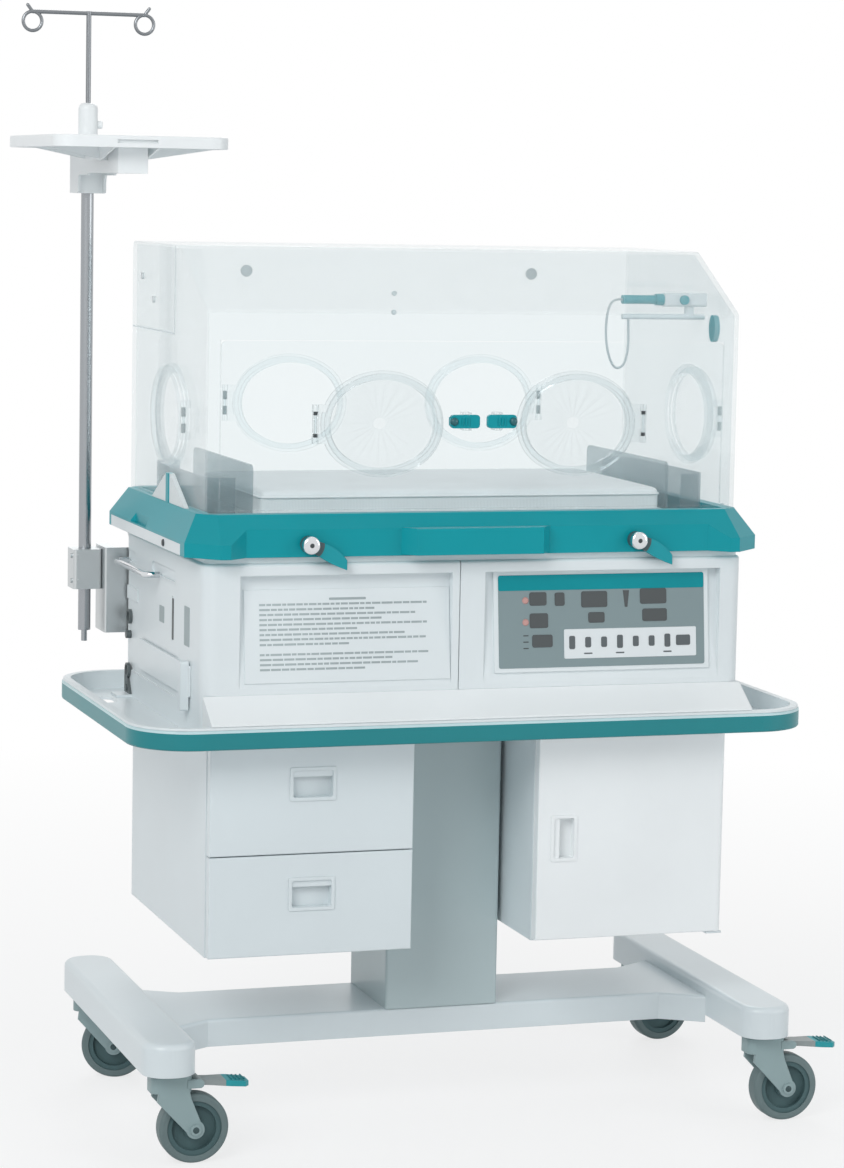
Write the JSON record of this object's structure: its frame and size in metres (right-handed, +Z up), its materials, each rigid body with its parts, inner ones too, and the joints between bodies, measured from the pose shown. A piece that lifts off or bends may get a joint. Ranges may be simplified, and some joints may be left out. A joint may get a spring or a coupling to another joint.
{
  "type": "infant incubator",
  "caption": "Wheeled infant incubator: clear hood with hand ports and drop-down panel over a bed, housing and tray on a column stand with drawers, cupboard, casters, pole and shelf.",
  "frame": {"origin": "on the floor, under the middle of the four caster swivels", "axes": "+X to the user's right, +Y to the back, +Z up; the front with the drop-down panel faces -Y"},
  "size_m": [1.142, 0.596, 1.6232],
  "materials": {
    "stand_paint": "semi-gloss pale blue-white",
    "cabinet_paint": "semi-gloss pale blue-white",
    "shell_plastic": "fine satin",
    "teal_plastic": "satin",
    "clear_acrylic": "clear",
    "tinted_acrylic": "smoky clear",
    "grey_plastic": "satin",
    "caster_plastic": "satin",
    "pole_steel": "brushed",
    "bright_chrome": "polished",
    "alloy": "satin",
    "mattress_cover": "soft sheet",
    "lead_rubber": "satin"
  },
  "bodies": {
    "stand": {"base_frame": "stand_paint", "caster_stems": "alloy", "column": "stand_paint", "tray_pan": "shell_plastic", "tray_bumper": "teal_plastic", "drawer_cabinet": "cabinet_paint", "cupboard_cabinet": "cabinet_paint", "housing": "shell_plastic", "control_module": "shell_plastic", "front_ledge": "shell_plastic", "instruction_plate": "shell_plastic", "control_fascia": "shell_plastic", "side_fittings": "grey_plastic", "side_rail": "bright_chrome", "deck_plate": "shell_plastic", "canopy_hinges": "alloy", "air_baffles": "tinted_acrylic", "pole_bracket": "alloy", "iv_pole": "pole_steel", "pole_collar": "shell_plastic"},
    "caster_front_left": {"caster_fork_front_left": "caster_plastic"},
    "wheel_front_left": {"caster_wheel_front_left": "caster_plastic"},
    "pedal_front_left": {"brake_pedal_front_left": "grey_plastic"},
    "caster_front_right": {"caster_fork_front_right": "caster_plastic"},
    "wheel_front_right": {"caster_wheel_front_right": "caster_plastic"},
    "pedal_front_right": {"brake_pedal_front_right": "grey_plastic"},
    "caster_rear_left": {"caster_fork_rear_left": "caster_plastic"},
    "wheel_rear_left": {"caster_wheel_rear_left": "caster_plastic"},
    "caster_rear_right": {"caster_fork_rear_right": "caster_plastic"},
    "wheel_rear_right": {"caster_wheel_rear_right": "caster_plastic"},
    "drawer_upper": {"drawer_upper": "shell_plastic"},
    "drawer_lower": {"drawer_lower": "shell_plastic"},
    "cupboard_door": {"cupboard_door": "shell_plastic"},
    "reservoir": {"reservoir": "shell_plastic"},
    "bed": {"bed_tray": "shell_plastic", "mattress": "mattress_cover", "bed_end_walls": "tinted_acrylic", "bed_handles": "bright_chrome"},
    "canopy": {"canopy_frame": "teal_plastic", "canopy_side_strips": "shell_plastic", "hood_shell": "clear_acrylic", "hood_fittings": "grey_plastic", "hood_port_rings": "clear_acrylic", "sensor_module": "shell_plastic", "sensor_lead": "lead_rubber"},
    "access_panel": {"front_panel": "clear_acrylic", "front_port_rings": "clear_acrylic"},
    "port_door_front_left": {"port_door_front_left": "clear_acrylic"},
    "port_door_front_right": {"port_door_front_right": "clear_acrylic"},
    "port_door_rear_left": {"port_door_rear_left": "clear_acrylic"},
    "port_door_rear_right": {"port_door_rear_right": "clear_acrylic"},
    "port_door_left_end": {"port_door_left_end": "clear_acrylic"},
    "port_door_right_end": {"port_door_right_end": "clear_acrylic"},
    "port_latch_front_left": {"port_latch_front_left": "teal_plastic"},
    "port_latch_front_right": {"port_latch_front_right": "teal_plastic"},
    "canopy_lock_left": {"canopy_lock_left": "bright_chrome"},
    "canopy_lock_right": {"canopy_lock_right": "bright_chrome"},
    "drip_rod": {"drip_rod": "bright_chrome"},
    "shelf": {"shelf_arm": "shell_plastic", "equipment_shelf": "shell_plastic"}
  },
  "joints": [
    {"name": "swivel_front_left", "type": "hinge", "parent": "stand", "child": "caster_front_left", "pos_m": [-0.451, -0.243, 0.104], "axis": [0, 0, 1], "continuous": true},
    {"name": "roll_front_left", "type": "hinge", "parent": "caster_front_left", "child": "wheel_front_left", "pos_m": [-0.413, -0.243, 0.05], "axis": [0, 1, 0], "continuous": true},
    {"name": "brake_front_left", "type": "hinge", "parent": "caster_front_left", "child": "pedal_front_left", "pos_m": [-0.407, -0.243, 0.1155], "axis": [0, 1, 0], "range_deg": [0, 10]},
    {"name": "swivel_front_right", "type": "hinge", "parent": "stand", "child": "caster_front_right", "pos_m": [0.451, -0.243, 0.104], "axis": [0, 0, 1], "continuous": true},
    {"name": "roll_front_right", "type": "hinge", "parent": "caster_front_right", "child": "wheel_front_right", "pos_m": [0.489, -0.243, 0.05], "axis": [0, 1, 0], "continuous": true},
    {"name": "brake_front_right", "type": "hinge", "parent": "caster_front_right", "child": "pedal_front_right", "pos_m": [0.495, -0.243, 0.1155], "axis": [0, 1, 0], "range_deg": [0, 10]},
    {"name": "swivel_rear_left", "type": "hinge", "parent": "stand", "child": "caster_rear_left", "pos_m": [-0.451, 0.243, 0.104], "axis": [0, 0, 1], "continuous": true},
    {"name": "roll_rear_left", "type": "hinge", "parent": "caster_rear_left", "child": "wheel_rear_left", "pos_m": [-0.41486, 0.23126, 0.05], "axis": [0.309, 0.9511, 0], "continuous": true},
    {"name": "swivel_rear_right", "type": "hinge", "parent": "stand", "child": "caster_rear_right", "pos_m": [0.451, 0.243, 0.104], "axis": [0, 0, 1], "continuous": true},
    {"name": "roll_rear_right", "type": "hinge", "parent": "caster_rear_right", "child": "wheel_rear_right", "pos_m": [0.48879, 0.24697, 0.05], "axis": [-0.1045, 0.9945, 0], "continuous": true},
    {"name": "slide_drawer_upper", "type": "slide", "parent": "stand", "child": "drawer_upper", "axis": [0, -1, 0], "range_m": [0, 0.35]},
    {"name": "slide_drawer_lower", "type": "slide", "parent": "stand", "child": "drawer_lower", "axis": [0, -1, 0], "range_m": [0, 0.35]},
    {"name": "cupboard_hinge", "type": "hinge", "parent": "stand", "child": "cupboard_door", "pos_m": [0.38, -0.2195, 0.292], "axis": [0, 0, 1], "range_deg": [0, 110]},
    {"name": "slide_reservoir", "type": "slide", "parent": "stand", "child": "reservoir", "axis": [-1, 0, 0], "range_m": [0, 0.18]},
    {"name": "bed_tilt", "type": "hinge", "parent": "stand", "child": "bed", "pos_m": [0, 0, 0.8645], "axis": [0, 1, 0], "range_deg": [-4, 4]},
    {"name": "canopy_tilt", "type": "hinge", "parent": "stand", "child": "canopy", "pos_m": [0, 0.262, 0.842], "axis": [-1, 0, 0], "range_deg": [0, 28]},
    {"name": "panel_drop", "type": "hinge", "parent": "canopy", "child": "access_panel", "pos_m": [0, -0.2065, 0.9145], "axis": [1, 0, 0], "range_deg": [0, 90]},
    {"name": "port_front_left", "type": "hinge", "parent": "access_panel", "child": "port_door_front_left", "pos_m": [-0.242, -0.2193, 1.033], "axis": [0, 0, -1], "range_deg": [0, 120]},
    {"name": "port_front_right", "type": "hinge", "parent": "access_panel", "child": "port_door_front_right", "pos_m": [0.248, -0.2193, 1.033], "axis": [0, 0, 1], "range_deg": [0, 120]},
    {"name": "port_rear_left", "type": "hinge", "parent": "canopy", "child": "port_door_rear_left", "pos_m": [-0.25, 0.2433, 1.033], "axis": [0, 0, 1], "range_deg": [0, 120]},
    {"name": "port_rear_right", "type": "hinge", "parent": "canopy", "child": "port_door_rear_right", "pos_m": [0.257, 0.2433, 1.033], "axis": [0, 0, -1], "range_deg": [0, 120]},
    {"name": "port_left_end", "type": "hinge", "parent": "canopy", "child": "port_door_left_end", "pos_m": [-0.4073, -0.125, 1.033], "axis": [0, 0, 1], "range_deg": [0, 120]},
    {"name": "port_right_end", "type": "hinge", "parent": "canopy", "child": "port_door_right_end", "pos_m": [0.4073, -0.125, 1.033], "axis": [0, 0, -1], "range_deg": [0, 120]},
    {"name": "latch_front_left", "type": "hinge", "parent": "access_panel", "child": "port_latch_front_left", "pos_m": [-0.0202, -0.225, 1.037], "axis": [0, 0, 1], "range_deg": [-8, 8], "stiffness_Nm_per_rad": 0.15},
    {"name": "latch_front_right", "type": "hinge", "parent": "access_panel", "child": "port_latch_front_right", "pos_m": [0.0262, -0.225, 1.037], "axis": [0, 0, 1], "range_deg": [-8, 8], "stiffness_Nm_per_rad": 0.15},
    {"name": "lock_left", "type": "hinge", "parent": "canopy", "child": "canopy_lock_left", "pos_m": [-0.256, -0.24, 0.868], "axis": [0, 1, 0], "range_deg": [0, 90]},
    {"name": "lock_right", "type": "hinge", "parent": "canopy", "child": "canopy_lock_right", "pos_m": [0.232, -0.24, 0.868], "axis": [0, 1, 0], "range_deg": [0, 90]},
    {"name": "rod_height", "type": "slide", "parent": "stand", "child": "drip_rod", "axis": [0, 0, 1], "range_m": [-0.12, 0.25]},
    {"name": "shelf_swivel", "type": "hinge", "parent": "stand", "child": "shelf", "pos_m": [-0.458, 0.275, 1.345], "axis": [0, 0, 1], "range_deg": [-90, 0]}
  ]
}
